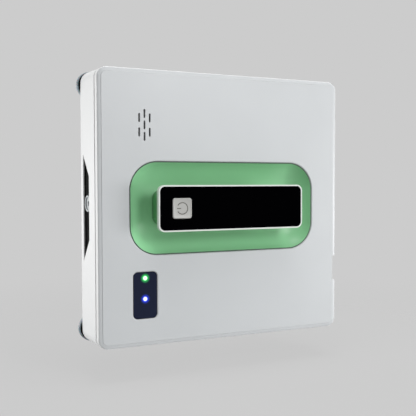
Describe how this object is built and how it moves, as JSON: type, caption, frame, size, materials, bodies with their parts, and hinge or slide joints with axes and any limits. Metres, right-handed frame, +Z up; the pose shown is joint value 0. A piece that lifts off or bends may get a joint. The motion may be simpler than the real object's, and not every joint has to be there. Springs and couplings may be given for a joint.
{
  "type": "window cleaning robot",
  "caption": "Square suction robot for window panes with a raised grip handle, two rubber tracks, a ring mop pad, corner rollers and side spray nozzles.",
  "frame": {"origin": "centre of the mop pad's face, where the robot meets the glass", "axes": "+Z up the pane, +X to the right seen from the room, +Y from the robot into the glass"},
  "size_m": [0.2594, 0.0784, 0.2556],
  "materials": {
    "silver_abs": "fine silver-grey lacquer",
    "white_abs": "moulded, semi-gloss",
    "seam_rubber": "matt",
    "green_abs": "moulded, satin",
    "panel_black": "polished",
    "button_silver": "satin silver lacquer",
    "window_tint": "tinted, polished",
    "lamp_green": "clear lens",
    "lamp_blue": "clear lens",
    "black_abs": "moulded, fine grain",
    "charcoal_abs": "moulded, fine grain",
    "grey_abs": "moulded, fine grain",
    "board_green": "solder mask",
    "steel": "turned",
    "motor_steel": "drawn can",
    "gear_nylon": "moulded nylon",
    "belt_rubber": "matt",
    "tyre_rubber": "soft, slightly translucent",
    "microfibre": "looped pile",
    "tank_plastic": "frosted",
    "battery_wrap": "shrink wrap",
    "silicone": "soft",
    "tube_silicone": "soft, milky"
  },
  "bodies": {
    "casing": {"top_cover": "silver_abs", "lower_housing": "white_abs", "seam_gasket": "seam_rubber", "grip_tray": "green_abs", "handle_stem": "green_abs", "handle_frame": "white_abs", "handle_panel": "panel_black", "handle_screws": "steel", "button_switch": "black_abs", "button_board": "board_green", "indicator_window": "window_tint", "green_lamp": "lamp_green", "blue_lamp": "lamp_blue", "lamp_board": "board_green", "sounder": "black_abs", "main_board": "board_green", "battery_cells": "battery_wrap", "battery_cradle": "charcoal_abs", "fan_casing": "charcoal_abs", "fan_motor": "motor_steel", "base_plate": "charcoal_abs", "suction_grille": "black_abs", "suction_lip": "silicone", "mop_frame": "grey_abs", "mop_pad": "microfibre", "track_belt_upper": "belt_rubber", "track_belt_lower": "belt_rubber", "idler_axles": "steel", "track_motor_upper": "motor_steel", "track_motor_lower": "motor_steel", "roller_pins": "steel", "side_vent_left": "black_abs", "side_vent_right": "black_abs", "spray_nozzle_left": "grey_abs", "spray_nozzle_right": "grey_abs", "water_tank": "tank_plastic", "water_pump": "charcoal_abs", "water_tubes": "tube_silicone", "power_inlet": "black_abs", "case_screws": "steel"},
    "power_button": {"power_button": "button_silver", "switch_plunger": "black_abs"},
    "fan_rotor": {"fan_impeller": "charcoal_abs", "fan_shaft": "steel"},
    "drive_wheel_upper": {"drive_wheel_upper": "grey_abs"},
    "drive_wheel_lower": {"drive_wheel_lower": "grey_abs"},
    "idler_wheel_upper": {"idler_wheel_upper": "grey_abs"},
    "idler_wheel_lower": {"idler_wheel_lower": "grey_abs"},
    "motor_pinion_upper": {"motor_pinion_upper": "gear_nylon"},
    "motor_pinion_lower": {"motor_pinion_lower": "gear_nylon"},
    "roller_top_left": {"roller_top_left": "black_abs", "tyre_top_left": "tyre_rubber"},
    "roller_top_right": {"roller_top_right": "black_abs", "tyre_top_right": "tyre_rubber"},
    "roller_bottom_left": {"roller_bottom_left": "black_abs", "tyre_bottom_left": "tyre_rubber"},
    "roller_bottom_right": {"roller_bottom_right": "black_abs", "tyre_bottom_right": "tyre_rubber"},
    "filler_plug": {"filler_plug": "silicone"}
  },
  "joints": [
    {"name": "power_button_press", "type": "slide", "parent": "casing", "child": "power_button", "axis": [0, 1, 0], "range_m": [0, 0.0004], "stiffness_N_per_m": 2500, "springref_m": -0.0002},
    {"name": "filler_plug_pull", "type": "slide", "parent": "casing", "child": "filler_plug", "axis": [0, 0, 1], "range_m": [0, 0.012]},
    {"name": "fan_spin", "type": "hinge", "parent": "casing", "child": "fan_rotor", "pos_m": [0, -0.025, 0], "axis": [0, 1, 0], "continuous": true},
    {"name": "track_drive_upper", "type": "hinge", "parent": "casing", "child": "drive_wheel_upper", "pos_m": [0.057, -0.017, 0.052], "axis": [0, 0, 1], "continuous": true},
    {"name": "idler_spin_upper", "type": "hinge", "parent": "casing", "child": "idler_wheel_upper", "pos_m": [-0.057, -0.017, 0.052], "axis": [0, 0, 1], "continuous": true},
    {"name": "motor_spin_upper", "type": "hinge", "parent": "casing", "child": "motor_pinion_upper", "pos_m": [0.057, -0.0351, 0.052], "axis": [0, 0, 1], "continuous": true},
    {"name": "track_drive_lower", "type": "hinge", "parent": "casing", "child": "drive_wheel_lower", "pos_m": [-0.057, -0.017, -0.052], "axis": [0, 0, 1], "continuous": true},
    {"name": "idler_spin_lower", "type": "hinge", "parent": "casing", "child": "idler_wheel_lower", "pos_m": [0.057, -0.017, -0.052], "axis": [0, 0, 1], "continuous": true},
    {"name": "motor_spin_lower", "type": "hinge", "parent": "casing", "child": "motor_pinion_lower", "pos_m": [-0.057, -0.0351, -0.052], "axis": [0, 0, 1], "continuous": true},
    {"name": "roller_spin_top_left", "type": "hinge", "parent": "casing", "child": "roller_top_left", "pos_m": [-0.1175, -0.008, 0.115], "axis": [0, 1, 0], "continuous": true},
    {"name": "roller_spin_top_right", "type": "hinge", "parent": "casing", "child": "roller_top_right", "pos_m": [0.1175, -0.008, 0.115], "axis": [0, 1, 0], "continuous": true},
    {"name": "roller_spin_bottom_left", "type": "hinge", "parent": "casing", "child": "roller_bottom_left", "pos_m": [-0.1175, -0.008, -0.115], "axis": [0, 1, 0], "continuous": true},
    {"name": "roller_spin_bottom_right", "type": "hinge", "parent": "casing", "child": "roller_bottom_right", "pos_m": [0.1175, -0.008, -0.115], "axis": [0, 1, 0], "continuous": true}
  ],
  "couplings": [
    {"joint": "idler_spin_upper", "follows": "track_drive_upper", "ratio": 1},
    {"joint": "motor_spin_upper", "follows": "track_drive_upper", "ratio": -2},
    {"joint": "idler_spin_lower", "follows": "track_drive_lower", "ratio": 1},
    {"joint": "motor_spin_lower", "follows": "track_drive_lower", "ratio": -2}
  ]
}
